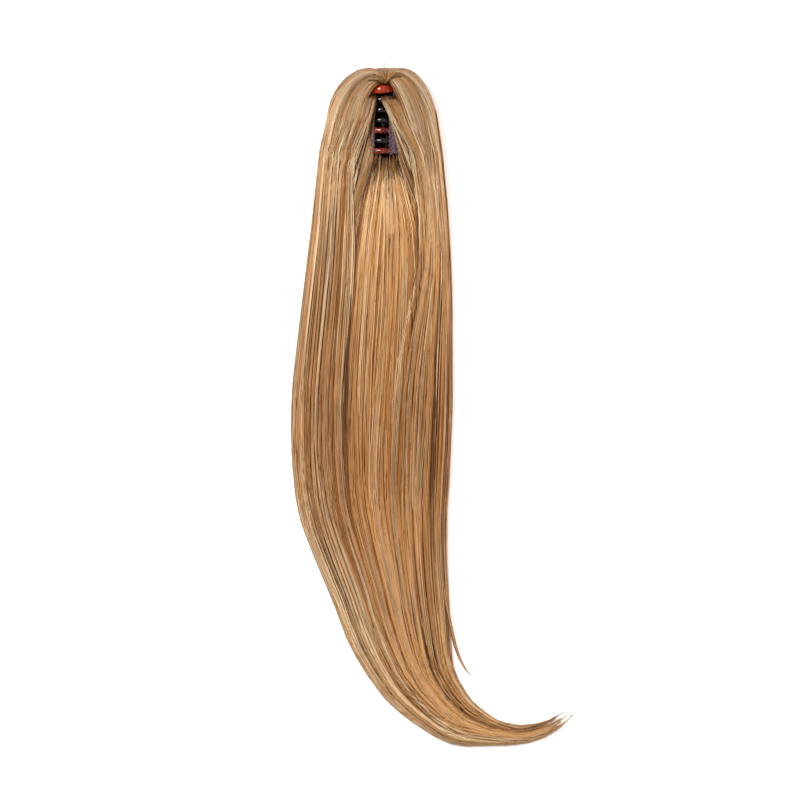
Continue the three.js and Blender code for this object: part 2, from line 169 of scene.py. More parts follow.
# Where the hairs of the right curtain (1) and the left (-1) start and how they loop over the crown, in
# mm from the clip's middle. The share of the hairs called hidden starts in a row between the two low
# roots, under the wide tooth. The rest starts at the root, which is the parting. Inner and outer are the
# two points that bend the loop of the first such hair and of the last.
LOOPS = {
    1: {
        "hidden": 0.2, "low_roots": ((-2.1, 16.1), (7.7, 16.8)), "root": (2.6, 26.2),
        "inner": ((7.2, 28.2), (9.0, 19.4)), "outer": ((10.5, 49.0), (37.1, 33.6)),
    },
    -1: {
        "hidden": 0.15, "low_roots": ((-4.9, 17.2), (-9.1, 18.2)), "root": (1.4, 26.2),
        "inner": ((-6.3, 28.0), (-11.9, 21.0)), "outer": ((-9.1, 48.3), (-38.5, 33.0)),
    },
}

# Tones from the darkest strand to the palest, in screen colours
TONES = (
    (0.0, (0.28, 0.16, 0.075)),
    (0.1, (0.43, 0.275, 0.14)),
    (0.22, (0.58, 0.39, 0.215)),
    (0.34, (0.69, 0.48, 0.275)),
    (0.44, (0.78, 0.56, 0.3)),
    (0.54, (0.82, 0.62, 0.385)),
    (0.64, (0.77, 0.6, 0.42)),
    (0.74, (0.69, 0.56, 0.43)),
    (0.86, (0.83, 0.705, 0.55)),
    (1.0, (0.93, 0.82, 0.66)),
)

# Mean tone of the hair across a section. Columns: place from the inner edge (0) to the outer (1), tone.
TONES_LEFT = (
    (0.0, 0.8), (0.08, 0.72), (0.13, 0.24), (0.18, 0.62), (0.3, 0.58), (0.45, 0.67), (0.6, 0.8),
    (0.8, 0.7), (1.0, 0.8),
)
TONES_RIGHT = (
    (0.0, 0.6), (0.04, 0.74), (0.12, 0.6), (0.2, 0.7), (0.4, 0.66), (0.48, 0.45), (0.52, 0.24),
    (0.6, 0.26), (0.66, 0.5), (0.8, 0.37), (1.0, 0.44),
)
TONES_BACK = (
    (0.0, 0.6), (0.05, 0.24), (0.1, 0.46), (0.15, 0.44), (0.2, 0.62), (0.32, 0.6), (0.38, 0.26),
    (0.43, 0.66), (0.5, 0.22), (0.56, 0.54), (0.66, 0.58), (0.76, 0.5), (0.82, 0.4), (0.88, 0.22),
    (0.95, 0.3), (1.0, 0.5),
)

# Middle tone of the crown. Then the tail's share of dark strands and its palest tone, on the left (-1), in
# the middle (0) and on the right (1).
CROWN_TONE = 0.62
TAIL_MIX = {-1: (0.12, 1.0), 0: (0.24, 0.76), 1: (0.38, 0.86)}

# How the hair's colour changes from root (0) to tip (1), as a multiplier
ALONG = (
    (0.0, (0.42, 0.36, 0.32)), (0.012, (0.67, 0.62, 0.59)), (0.03, (0.8, 0.785, 0.78)),
    (0.09, (0.84, 0.84, 0.85)), (0.16, (1.0, 1.0, 1.0)), (0.22, (1.0, 1.0, 1.0)),
    (0.32, (0.93, 0.905, 0.88)), (0.48, (0.89, 0.835, 0.785)), (0.62, (0.93, 0.9, 0.88)),
    (0.78, (1.0, 1.0, 1.0)), (1.0, (1.0, 1.0, 1.0)),
)
# Painted shade: patches along the strands, up to a seventh darker, that stand in for the light and shade of
# the hair's relief
PAINTED_RELIEF_SHADE = ((0.3, (0.86, 0.85, 0.84)), (0.5, (0.97, 0.97, 0.97)), (0.7, (1.0, 1.0, 1.0)))

# Colours of the clip, its teeth, the steel and the net, by the clouds' brightness
SHELL_COLOURS = (
    (0.42, (0.07, 0.03, 0.03)), (0.54, (0.22, 0.05, 0.03)), (0.62, (0.5, 0.1, 0.04)),
    (0.74, (0.78, 0.26, 0.08)),
)
TOOTH_COLOURS = (
    (0.3, (0.025, 0.012, 0.015)), (0.55, (0.16, 0.025, 0.012)), (0.8, (0.66, 0.18, 0.005)),
    (1.0, (0.9, 0.36, 0.06)),
)
STEEL_COLOURS = ((0.3, (0.62, 0.62, 0.64)), (0.7, (0.8, 0.8, 0.82)))
NET_COLOURS = ((0.3, (0.2, 0.145, 0.155)), (0.55, (0.38, 0.29, 0.315)), (0.75, (0.58, 0.48, 0.5)))


def linear(colour):
    return tuple(((c + 0.055) / 1.055) ** 2.4 if c > 0.04045 else c / 12.92 for c in colour)


# A material and the parts that its node tree is made from. Values are constants, or outputs to link.
class Tree:
    def __init__(self, name):
        self.material = bpy.data.materials.new(name)
        self.material.use_nodes = True
        self.nodes, self.links = self.material.node_tree.nodes, self.material.node_tree.links

    def put(self, node, values):
        for name, value in values.items():
            if isinstance(value, bpy.types.NodeSocket):
                self.links.new(value, node.inputs[name])
            else:
                node.inputs[name].default_value = value
        return node

    def add(self, kind, values):
        return self.put(self.nodes.new(kind), values)

    def ramp(self, factor, stops):
        node = self.add("ShaderNodeValToRGB", {"Fac": factor})
        elements = node.color_ramp.elements
        while len(elements) > 1:
            elements.remove(elements[-1])
        elements[0].position, elements[0].color = stops[0][0], (*linear(stops[0][1]), 1)
        for at, colour in stops[1:]:
            elements.new(at).color = (*linear(colour), 1)
        return node.outputs["Color"]

    def noise(self, place, scale, detail=2.0, distortion=0.0):
        values = {"Vector": place, "Scale": scale, "Detail": detail, "Distortion": distortion}
        return self.add("ShaderNodeTexNoise", values).outputs["Fac"]

    def multiply(self, first, second):
        mix = self.nodes.new("ShaderNodeMix")
        mix.data_type = "RGBA"
        mix.blend_type = "MULTIPLY"
        mix.inputs["Factor"].default_value = 1.0
        return self.put(mix, {"A": first, "B": second}).outputs["Result"]

    # The map's place, and its two coordinates
    def map_place(self):
        place = self.nodes.new("ShaderNodeUVMap")
        place.uv_map = "OFBake"
        split = self.add("ShaderNodeSeparateXYZ", {0: place.outputs["UV"]})
        return place.outputs["UV"], split.outputs["X"], split.outputs["Y"]

    # Clouds in the piece's own space
    def clouds(self, *sizes):
        return self.noise(self.nodes.new("ShaderNodeTexCoord").outputs["Object"], *sizes)

    def shade(self, values):
        self.put(self.nodes["Principled BSDF"], values)
        return self.material


# Hair: the map's first coordinate is a strand's tone and its second runs from root to tip
def hair_material():
    tree = Tree("hair")
    place, tone, share = tree.map_place()
    stretch = tree.add("ShaderNodeMapping", {"Vector": place, "Scale": (260.0, 11.0, 1.0)})
    # Painted shade in patches along the strands, for the light and shade of the hair's relief
    shade_patches = tree.noise(stretch.outputs["Vector"], 1.0, 3.0)
    colour = tree.multiply(tree.ramp(tone, TONES), tree.ramp(share, ALONG))
    colour = tree.multiply(colour, tree.ramp(shade_patches, PAINTED_RELIEF_SHADE))
    return tree.shade({
        "Base Color": colour, "Roughness": 0.46, "Specular IOR Level": 0.38,
        "Specular Tint": (1.0, 0.84, 0.66, 1),
    })


# Tortoiseshell: clouds of red and amber in near black, under a clear gloss
def shell_material():
    tree = Tree("tortoiseshell")
    colour = tree.ramp(tree.clouds(110.0, 3.0, 0.6), SHELL_COLOURS)
    return tree.shade({"Base Color": colour, "Roughness": 0.12, "Coat Weight": 0.6, "Coat Roughness": 0.05})


# Teeth: the same shell, with the share of amber, less a painted shade toward the tips, in the map's first
# coordinate
def tooth_material():
    tree = Tree("tortoiseshell_teeth")
    place, amber, _ = tree.map_place()
    cloudy = tree.nodes.new("ShaderNodeMath")
    cloudy.operation = "MULTIPLY_ADD"
    tree.put(cloudy, {0: tree.noise(place, 14.0), 1: 0.5, 2: amber})
    return tree.shade({
        "Base Color": tree.ramp(cloudy.outputs["Value"], TOOTH_COLOURS), "Roughness": 0.08,
        "Specular IOR Level": 0.3, "Coat Weight": 0.25, "Coat Roughness": 0.04,
    })


def steel_material():
    tree = Tree("steel")
    colour = tree.ramp(tree.clouds(1400.0), STEEL_COLOURS)
    return tree.shade({"Base Color": colour, "Metallic": 1.0, "Roughness": 0.3})


def net_material():
    tree = Tree("net")
    fibre = tree.clouds(900.0, 4.0)
    bump = tree.add("ShaderNodeBump", {"Height": fibre, "Strength": 0.5, "Distance": 0.0002})
    colour = tree.ramp(fibre, NET_COLOURS)
    return tree.shade({"Base Color": colour, "Normal": bump.outputs["Normal"], "Roughness": 0.85})


def added(name, data):
    thing = bpy.data.objects.new(name, data)
    bpy.context.scene.collection.objects.link(thing)
    return thing


# Meshes are made from arrays of corners, faces and map coordinates
def mesh_object(name, corners, faces, material, maps=None):
    mesh = bpy.data.meshes.new(name)
    mesh.vertices.add(len(corners))
    mesh.vertices.foreach_set("co", np.asarray(corners, np.float32).ravel())
    loops = np.concatenate([np.asarray(f, np.int32).ravel() for f in faces])
    sizes = np.concatenate([np.full(len(f), np.shape(f)[1], np.int32) for f in faces])
    starts = np.concatenate([[0], np.cumsum(sizes)[:-1]]).astype(np.int32)
    mesh.loops.add(len(loops))
    mesh.loops.foreach_set("vertex_index", loops)
    mesh.polygons.add(len(sizes))
    mesh.polygons.foreach_set("loop_start", starts)
    mesh.polygons.foreach_set("loop_total", sizes)
    mesh.polygons.foreach_set("use_smooth", np.ones(len(sizes), bool))
    if maps is not None:
        layer = mesh.uv_layers.new(name="OFBake")
        places = np.concatenate([m.reshape(-1, 2) for m in maps])
        layer.uv.foreach_set("vector", places.astype(np.float32).ravel())
    mesh.update(calc_edges=True)
    mesh.validate()
    mesh.materials.append(material)
    return added(name, mesh)


# Closed tubes along paths (tubes, points, 3): their corners, their faces and, with tones (tubes, points),
# their map coordinates. A tube's sides differ by a small step of tone.
SIDE_STEP = 0.0012


def tubes(paths, radii, sides, flat=1.0, tones=None, along=None):
    count, points = paths.shape[:2]
    heading = np.gradient(paths, axis=1)
    heading /= np.linalg.norm(heading, axis=2, keepdims=True) + 1e-12
    across = np.cross(heading, (0.0, 0.0, 1.0))
    length = np.linalg.norm(across, axis=2, keepdims=True)
    across = np.where(length > 1e-3, across / (length + 1e-12), (1.0, 0.0, 0.0))
    lift = np.cross(across, heading)
    turn = math.pi / 2 + np.arange(sides) * 2 * math.pi / sides
    ring = across[:, :, None] * np.cos(turn)[:, None] + lift[:, :, None] * np.sin(turn)[:, None] * flat
    corners = paths[:, :, None] + ring * radii[:, :, None, None]
    index = np.arange(count * points * sides).reshape(count, points, sides)
    after = np.roll(index, -1, axis=2)
    quads = np.stack([index[:, :-1], after[:, :-1], after[:, 1:], index[:, 1:]], axis=-1)
    faces = [quads.reshape(-1, 4), index[:, 0, ::-1], index[:, -1]]
    if tones is None:
        return corners.reshape(-1, 3), faces, None
    places = np.broadcast_arrays(tones[..., None] + np.arange(sides + 1) * SIDE_STEP, along[..., None])
    grid = np.stack(places, -1)
    quad_map = np.stack([grid[:, :-1, :-1], grid[:, :-1, 1:], grid[:, 1:, 1:], grid[:, 1:, :-1]], -2)
    return corners.reshape(-1, 3), faces, [quad_map, grid[:, 0, -2::-1], grid[:, -1, :-1]]


# Joins several lots of corners and faces into one mesh object
class Lot:
    def __init__(self):
        self.corners, self.faces, self.maps, self.count = [], {}, {}, 0

    def add(self, corners, faces, maps=None):
        for k, part in enumerate(faces):
            size = part.shape[1]
            self.faces.setdefault(size, []).append(part + self.count)
            if maps is not None:
                self.maps.setdefault(size, []).append(maps[k].reshape(-1, 2))
        self.corners.append(corners)
        self.count += len(corners)

    def make(self, name, material):
        sizes = sorted(self.faces)
        faces = [np.concatenate(self.faces[size]) for size in sizes]
        maps = [np.concatenate(self.maps[size]) for size in sizes] if self.maps else None
        return mesh_object(name, np.concatenate(self.corners), faces, material, maps)


# A smooth curve through values at places
def hermite(at, places, values):
    slopes = np.gradient(values, places, axis=0)
    k = np.clip(np.searchsorted(places, at) - 1, 0, len(places) - 2)
    width = places[k + 1] - places[k]
    t = ((at - places[k]) / width)[:, None]
    w = width[:, None]
    return (
        (2 * t**3 - 3 * t**2 + 1) * values[k] + (t**3 - 2 * t**2 + t) * w * slopes[k]
        + (3 * t**2 - 2 * t**3) * values[k + 1] + (t**3 - t**2) * w * slopes[k + 1]
    )


# The hair's sections along its middle line, from the crown to the tip
SECTION_COUNT = 900


def hair_sections():
    rows = np.array(HEAD_ROWS + TAIL_ROWS)
    rows[:len(HEAD_ROWS), 0] *= CROWN_RISE
    rows[len(HEAD_ROWS):, 0] *= -HAIR_DROP
    rows = rows[:, (1, 0, 2, 3)] * (TAIL_SWEEP, 1, HALF_WIDTH, HEAD_HEIGHT)
    steps = np.hypot(*np.diff(rows[:, :2], axis=0).T)
    places = np.concatenate([[0], np.cumsum(steps)])
    at = np.linspace(0, places[-1], SECTION_COUNT)
    return at, hermite(at, places, rows)


AT, SECTIONS = hair_sections()
LENGTH = AT[-1]
HEADING = np.gradient(SECTIONS[:, :2], AT, axis=0)
HEADING /= np.linalg.norm(HEADING, axis=1, keepdims=True)
EDGES, BACK_EDGES = np.array(EDGE_ROWS), np.array(BACK_EDGE_ROWS)
BACK_DEPTHS = np.array(BACK_ROWS).T * ((MM,), (1,))

# Where the curtains' hairs pass from the loops over the crown to the length, just above the clip's middle,
# and the first place on the middle line that is used
JOIN = CROWN_RISE - 0.0014
FIRST_PLACE = 0.0004


def section_at(distance):
    return [np.interp(distance, AT, SECTIONS[:, k]) for k in range(4)]


def heading_at(distance):
    return [np.interp(distance, AT, HEADING[:, k]) for k in range(2)]


# Turn is the place about a section: 0 at the right edge, a quarter turn on top, a half turn at the left
def turn_of(share):
    return np.arccos(np.sign(share) * np.abs(share) ** (1 / FULLNESS))


def edge_turn(distance, side, edges):
    return np.interp(distance, edges[:, 0] * MM, turn_of(edges[:, 2 if side > 0 else 1]))


# Insets shrink with the hair's height, so that layers stay in order down to the tip
def eased(inset, top):
    return inset * np.clip(top / (0.5 * HEAD_HEIGHT), 0.12, 1)


def on_hair(distance, turn, inset):
    middle_x, middle_y, half, top = section_at(distance)
    inset = eased(inset, top)
    wide = np.sign(np.cos(turn)) * np.abs(np.cos(turn)) ** FULLNESS * (half - inset)
    high = np.maximum(np.sin(turn), 0.0) ** FULLNESS * (top - inset)
    head_x, head_y = heading_at(distance)
    norm = np.hypot(head_x, head_y)
    x = middle_x - wide * head_y / norm
    y = middle_y + wide * head_x / norm
    return np.stack([x, y, high], axis=-1)


def smooth(value):
    value = np.clip(value, 0, 1)
    return value * value * (3 - 2 * value)


# Height of the hair's surface at a share of the half width
def dome(across, top):
    return (1 - across**EXPONENT) ** (1 / EXPONENT) * top


def phases(rng, shape):
    return rng.random(shape) * 2 * math.pi


def wave(phase, place, length):
    return np.sin(phase + 2 * math.pi * place / length)


def bezier(points, t):
    p0, p1, p2, p3 = points
    return (1 - t) ** 3 * p0 + 3 * (1 - t) ** 2 * t * p1 + 3 * (1 - t) * t**2 * p2 + t**3 * p3


# Places along a strand from 0 to 1, uneven from strand to strand. Shares pairs even steps with places, so
# that the points are closer together where the tail bends.
BEND_SHARES = ((0, 0.38, 1), (0, 0.55, 1))
UNEVENNESS, LAST_UNEVENNESS = 0.45, 0.15


def body_steps(rng, count, segments, shares=BEND_SHARES):
    ticks = np.arange(segments + 1) + np.zeros((count, 1))
    calmer = np.linspace(1, LAST_UNEVENNESS, segments - 1)
    ticks[:, 1:-1] += rng.uniform(-UNEVENNESS, UNEVENNESS, (count, segments - 1)) * calmer
    return np.interp(ticks / segments, *shares)


# The loops' plan over the crown, x and y: low marks the hidden hairs, before is a point on the way to join
STRAIGHT = 0.35
LOOP_SPREAD = 0.85


def loop_plan(loop, share, low, before, join, t):
    near = np.clip((share - loop["hidden"]) / (1 - loop["hidden"]), 0, 1) ** LOOP_SPREAD
    far = np.clip(share / loop["hidden"], 0, 1)
    low_roots, inner, outermost = (np.array(loop[key]) * MM for key in ("low_roots", "inner", "outer"))
    hidden = low_roots[0] * (1 - far) + low_roots[1] * far
    first = np.where(low, hidden, np.array(loop["root"]) * MM)
    bends = [inner[k] + (outermost[k] - inner[k]) * near for k in (0, 1)]
    second = np.where(low, first + (join - first) * STRAIGHT, bends[0])
    third = np.where(low, before, bends[1])
    plan = bezier((first[:, None], second[:, None], third[:, None], join[:, None]), t[..., None])
    return plan[..., 0], plan[..., 1]


# Paths of a curtain's strands, from the parting over the crown and down to the tip. Share runs from the
# inner edge (0) to the outline (1). With the paths come each point's distance from the crown and its place
# from the strand's root (0) to its tip (1).
EDGE_DIP, EDGE_SHARE = 0.0035, 0.12
LOW_ROOT_Z, PARTING_Z = 0.0468, 0.0455


def curtain_paths(share, side, inset, ends, head_steps, steps):
    loop = LOOPS[side]
    share, inset = share[:, None], inset[:, None]
    outer = 0.0 if side > 0 else math.pi
    distance = JOIN + (ends[:, None] - JOIN) * steps
    edge = edge_turn(distance, side, EDGES)
    turn = edge + (outer - edge) * share
    edge_dip = EDGE_DIP * np.clip(1 - share / EDGE_SHARE, 0, 1) * smooth((distance - 0.06) / 0.06)
    body = on_hair(distance, turn, inset + edge_dip)
    low = share < loop["hidden"]
    t = head_steps[None]
    before = body[:, 0, :2] - (body[:, 1, :2] - body[:, 0, :2]) * 0.25
    x, y = loop_plan(loop, share, low, before, body[:, 0, :2], t)
    back = np.clip(CROWN_RISE - y, FIRST_PLACE, None)
    middle_x, _, half, top = section_at(back)
    top = top - inset
    on_dome = dome(np.clip(np.abs(x - middle_x) / (half - inset * 0.5), 0, 0.99), top)
    swing = math.pi / 2 + (turn[:, :1] - math.pi / 2) * smooth(t)
    easy = np.sin(swing) ** FULLNESS * top
    late = smooth(t * 2 - 1)
    z = on_dome * (0.65 + 0.35 * late) + easy * (0.35 - 0.35 * late)
    root_z = np.where(low, LOW_ROOT_Z, PARTING_Z)
    z = root_z + (z - root_z) * smooth(t / 0.3)
    z = z + (body[:, :1, 2] - z[:, -1:]) * smooth((t - 0.25) / 0.75)
    head = np.stack([x, y, z], -1)
    reach = np.linalg.norm(np.diff(head, axis=1), axis=2).sum(axis=1, keepdims=True)
    total = reach + ends[:, None] - JOIN
    along = np.concatenate([head_steps[None] * reach / total, (reach + distance - JOIN)[:, 1:] / total], 1)
    path = np.concatenate([head, body[:, 1:]], axis=1)
    place = np.concatenate([np.minimum(back, JOIN), distance[:, 1:]], axis=1)
    return path, place, along


# Paths of the back section, which comes out from under the clip's lower end, with the same two measures
BACK_ROOT = 0.0635
ROOT_DEPTH = 0.004


def back_paths(share, inset, ends, steps):
    share, inset = share[:, None], inset[:, None]
    distance = BACK_ROOT + (ends[:, None] - BACK_ROOT) * steps**1.15
    left, right = (edge_turn(distance, side, BACK_EDGES) for side in (-1, 1))
    turn = left + (right - left) * share
    top = section_at(distance)[3]
    sunk = np.interp(distance, *BACK_DEPTHS) * top
    path = on_hair(distance, turn, 0 * distance)
    path[..., 2] -= sunk + eased(inset, top)
    down = distance - BACK_ROOT
    path[..., 2] -= ROOT_DEPTH * (1 - smooth(down / 0.006))
    along = np.interp(down, (0, 0.009, 0.016, LENGTH - BACK_ROOT), (0, 0.03, 0.13, 1))
    return path, distance, along


# Paths of the hairs sewn to the net beside the clip's lower half, which join the back section. Their roots
# lie in a row between two places, in mm from the clip's middle.
SHOULDER_ROOTS = {-1: ((-9.6, -9.5), (-7.6, -25.5)), 1: ((14.2, -15.0), (11.0, -25.5))}
SHOULDER_PLACE = 0.045


def shoulder_paths(share, side, inset, ends, head_steps, steps):
    first, last = (np.array(row) * MM for row in SHOULDER_ROOTS[side])
    root = first + (last - first) * share[:, None]
    back_share = -0.2 + 0.2 * share if side < 0 else 1.2 - 0.2 * share
    body, distance, _ = back_paths(back_share, inset, ends, 0.16 + 0.84 * steps)
    join, after = body[:, 0], body[:, 1]
    height = CLAW_Z + np.sqrt(NET_OUTER**2 - root[:, 0] ** 2) + 0.0006
    start = np.concatenate([root, height[:, None]], 1)
    lean = start + np.stack([root[:, 0] * 0.15, 0 * share - 0.008, 0 * share], -1)
    before = join - (after - join) * STRAIGHT
    points = [p[:, None] for p in (start, lean, before, join)]
    head = bezier(points, head_steps[None, :, None])
    path = np.concatenate([head, body[:, 1:]], axis=1)
    place = np.concatenate([CROWN_RISE - head[..., 1], distance[:, 1:]], axis=1)
    return path, place, (place - SHOULDER_PLACE) / (LENGTH - SHOULDER_PLACE)


# Frames along strands: the way out of the hair and the way across the strand
def frames(path, place):
    heading = np.gradient(path, axis=1)
    heading /= np.linalg.norm(heading, axis=2, keepdims=True) + 1e-12
    middle_x, middle_y, _, top = section_at(place)
    outward = path - np.stack([middle_x, middle_y, 0.3 * top], -1)
    outward -= heading * np.sum(outward * heading, axis=2, keepdims=True)
    outward /= np.linalg.norm(outward, axis=2, keepdims=True) + 1e-9
    return outward, np.cross(heading, outward)


# Locks: strands share a lock's path and keep their own place, waves and tone within it. A lock has five
# tufts, whose strands lie closer together.
TUFTS = 5
LOCK_SIZE, TUFT_SIZE = 0.75, 0.4


def lock_spread(rng, locks, per_lock, spread, thick):
    lock = np.repeat(np.arange(locks), per_lock)
    tuft = rng.integers(0, TUFTS, len(lock))
    tuft_radius = np.sqrt(rng.random((locks, TUFTS)))[lock, tuft] * LOCK_SIZE
    tuft_angle = phases(rng, (locks, TUFTS))[lock, tuft]
    radius = np.sqrt(rng.random(len(lock))) * TUFT_SIZE
    angle = phases(rng, len(lock))
    side = (tuft_radius * np.cos(tuft_angle) + radius * np.cos(angle)) * spread
    deep = (0.5 + 0.5 * (tuft_radius * np.sin(tuft_angle) + radius * np.sin(angle))) * thick
    tuft_tone = rng.normal(0, 0.08, (locks, TUFTS))[lock, tuft]
    return lock, side, deep, tuft_tone


# Moves strands to their places in the locks, which twist, wave and gather toward the tip. Waves are in
# metres: the first is a lock's and the others are a strand's own.
LOCK_WAVE, STRAND_WAVES = 0.27, (0.19, 0.083)
TWIST = 2.2


def shifted(rng, path, place, lock, side, deep, spread, wander):
    count = len(path)
    outward, across = frames(path, place)
    half = section_at(place)[2]
    local = np.clip(half / HALF_WIDTH, 0.1, 1.0)
    locks = lock.max() + 1
    swing = rng.uniform(-1, 1, locks)[lock][:, None] * TWIST * place / LENGTH
    gather = 1 - 0.5 * smooth((place / place[:, -1:] - 0.8) / 0.2)
    sideways = side[:, None] * np.cos(swing) * gather * local
    lock_phase = phases(rng, locks)[lock][:, None]
    sideways = sideways + 0.3 * spread * wave(lock_phase, place, LOCK_WAVE) * local
    for length in STRAND_WAVES:
        phase = phases(rng, (count, 1))
        size = rng.random((count, 1)) * wander * (length / STRAND_WAVES[0])
        sideways = sideways + size * wave(phase, place, length) * local
    depth = deep[:, None] * local
    return path + across * sideways[..., None] - outward * depth[..., None]


# Tones about a mean, with some strands much darker and some much paler
LOWEST, HIGHEST = 0.01, 0.985
DARK_UNTIL, PALE_FROM = 0.06, 0.93
DARK_TONES, PALE_TONES = (0.06, 0.28), (0.84, 0.97)


def mixed_tones(rng, mean):
    tones = mean + rng.normal(0, 0.1, len(mean))
    pick = rng.random(len(mean))
    tones = np.where(pick < DARK_UNTIL, rng.uniform(*DARK_TONES, len(mean)), tones)
    tones = np.where(pick > PALE_FROM, rng.uniform(*PALE_TONES, len(mean)), tones)
    return np.clip(tones, LOWEST, HIGHEST)


def table(rows, at):
    rows = np.array(rows)
    return np.interp(at, rows[:, 0], rows[:, 1])


# Radii along strands, which start at a share of the base radius and end in a fine tip
ROOT_SHARE, ROOT_REACH, TIP_POWER = 0.6, 0.02, 7
STRAND, TIP = 0.00034, 0.12


def strand_radii(rng, along, base, tip):
    from_root = ROOT_SHARE + (1 - ROOT_SHARE) * np.clip(along / ROOT_REACH, 0, 1)
    taper = from_root * (1 - (1 - tip) * np.clip(along, 0, 1) ** TIP_POWER)
    return base * rng.uniform(0.7, 1.25, (len(along), 1)) * taper


# Adds strands of three sides, kept above the floor and moved from the clip's middle to the frame
def add_strands(lot, rng, path, along, tones, base=STRAND, tip=TIP):
    along = np.clip(along, 0, 1)
    radii = strand_radii(rng, along, base, tip)
    path = path.copy()
    path[..., 2] = np.maximum(path[..., 2], radii * 0.9)
    path[..., 0] += CLIP_X
    path[..., 1] += CLIP_Y
    if tones.ndim == 1:
        tones = tones[:, None] + 0 * along
    lot.add(*tubes(path, radii, 3, 0.8, np.clip(tones, LOWEST, HIGHEST), along))


# Shares from 0 to 1 with uneven gaps
def spaced(rng, count):
    return (np.arange(count) + 0.5 + rng.uniform(-0.4, 0.4, count)) / count


# Tones along strands: the crown's own tone and contrast, slow waves by lock, then the tail's mix, and dark
# locks and finer streaks in its end. Each of these starts at a place and takes a length, in metres.
CROWN_FADE, TAIL_FADE, END_FADE = (0.035, 0.1), (0.27, 0.11), (0.37, 0.08)
CROWN_SHARE, CROWN_CONTRAST = 0.6, 0.85
TONE_WAVE = 0.31
TAIL_SHARE = 0.75
END_DARK_SHARE, END_DARKER = 0.34, 0.36


def tones_along(rng, tones, base, tuft_tone, lock, place, mix):
    def fade(start, length):
        return smooth((place - start) / length)

    locks = lock.max() + 1
    crown = 1 - fade(*CROWN_FADE)
    middle = base[:, None] + (CROWN_TONE - base[:, None]) * CROWN_SHARE * crown
    tones = middle + (tones - base)[:, None] * (1 + CROWN_CONTRAST * crown)
    tones = tones + 0.05 * wave(phases(rng, locks)[lock][:, None], place, TONE_WAVE)
    dark_share, palest = mix
    rank = np.argsort(np.argsort(tuft_tone)) / len(tuft_tone)
    pale = palest - 0.18 * (1 - rank) / (1 - dark_share)
    goal = np.where(rank < dark_share, 0.1 + 0.14 * rank / dark_share, pale)
    goal = (goal + rng.normal(0, 0.05, len(goal)))[:, None]
    tones = tones + (goal - tones) * TAIL_SHARE * fade(*TAIL_FADE)
    darker = np.where(rng.random(locks) < END_DARK_SHARE, END_DARKER, 0.0)[lock]
    darker = darker + rng.normal(0.03, 0.13, len(lock))
    return tones - darker[:, None] * fade(*END_FADE)


# Where strands end along the hair: a share of them is short
def strand_ends(rng, count, short):
    long = rng.uniform(0.93, 1.0, count)
    return LENGTH * np.where(rng.random(count) < short, rng.uniform(0.8, 0.95, count), long)


# How strands lie in the locks of the curtains and the back section: the locks' width, how much of it is
# used, how they crowd to one edge, how far strands stray, how much the locks' depth and tone vary, the
# share of short ones, how ragged and rounded the ends are, and how far strands wander
CURTAIN_STYLE = {
    "width": 0.0036, "used": 1.0, "crowd": 0.95, "stray": 0.006, "depth": 0.0012, "tone": 0.07,
    "short": 0.25, "ragged": 0.05, "rounded": 0.03, "wander": 0.0009,
}
BACK_STYLE = {
    "width": 0.0034, "used": 0.9, "crowd": 1.0, "stray": 0.01, "depth": 0.001, "tone": 0.06,
    "short": 0.4, "ragged": 0.06, "rounded": 0.0, "wander": 0.0008,
}


# Strands in locks, on the paths made by make_paths. The last argument is how much darker they are than the
# rows of tones: a painted shade that darkens the lower layers.
def add_locks(lot, rng, style, make_paths, tone_rows, mix, locks, per_lock, inset, thick, depth_shade):
    width = style["width"]
    lock, sideways, deep, tuft_tone = lock_spread(rng, locks, per_lock, width, thick)
    lock_share = spaced(rng, locks) ** style["crowd"]
    share = np.clip(lock_share[lock] + rng.normal(0, style["stray"], len(lock)), 0, 1)
    lock_inset = inset + rng.uniform(0, style["depth"], locks)[lock]
    ends = strand_ends(rng, locks, style["short"])[lock]
    ends = ends * (1 - rng.random(len(lock)) ** 3 * style["ragged"]) * (1 - style["rounded"] * share**2)
    path, place, along = make_paths(share, lock_inset, ends)
    sideways = sideways * style["used"]
    path = shifted(rng, path, place, lock, sideways, deep, width, style["wander"])
    base = table(tone_rows, share)
    mean = base + rng.normal(0, style["tone"], locks)[lock] + tuft_tone - depth_shade
    tones = tones_along(rng, mixed_tones(rng, mean), base, tuft_tone, lock, place, mix)
    add_strands(lot, rng, path, along, tones)


def add_curtain(lot, rng, side, tone_rows, segments, *sizes):
    def make_paths(share, inset, ends):
        head_steps = np.linspace(0, 1, segments[0] + 1)
        steps = body_steps(rng, len(share), segments[1])
        return curtain_paths(share, side, inset, ends, head_steps, steps)

    add_locks(lot, rng, CURTAIN_STYLE, make_paths, tone_rows, TAIL_MIX[side], *sizes)


# Hairs that start on the middle line of the crown's front and wrap round it. Level runs from the floor (0)
# to the top (1). The right side's start past the middle line, which keeps the front closed when it opens.
WRAPS, WRAP_STRAND = 210, 0.00048
WRAP_SEGMENTS = 10
OVERLAP = 0.009
FRONT = AT < 0.02


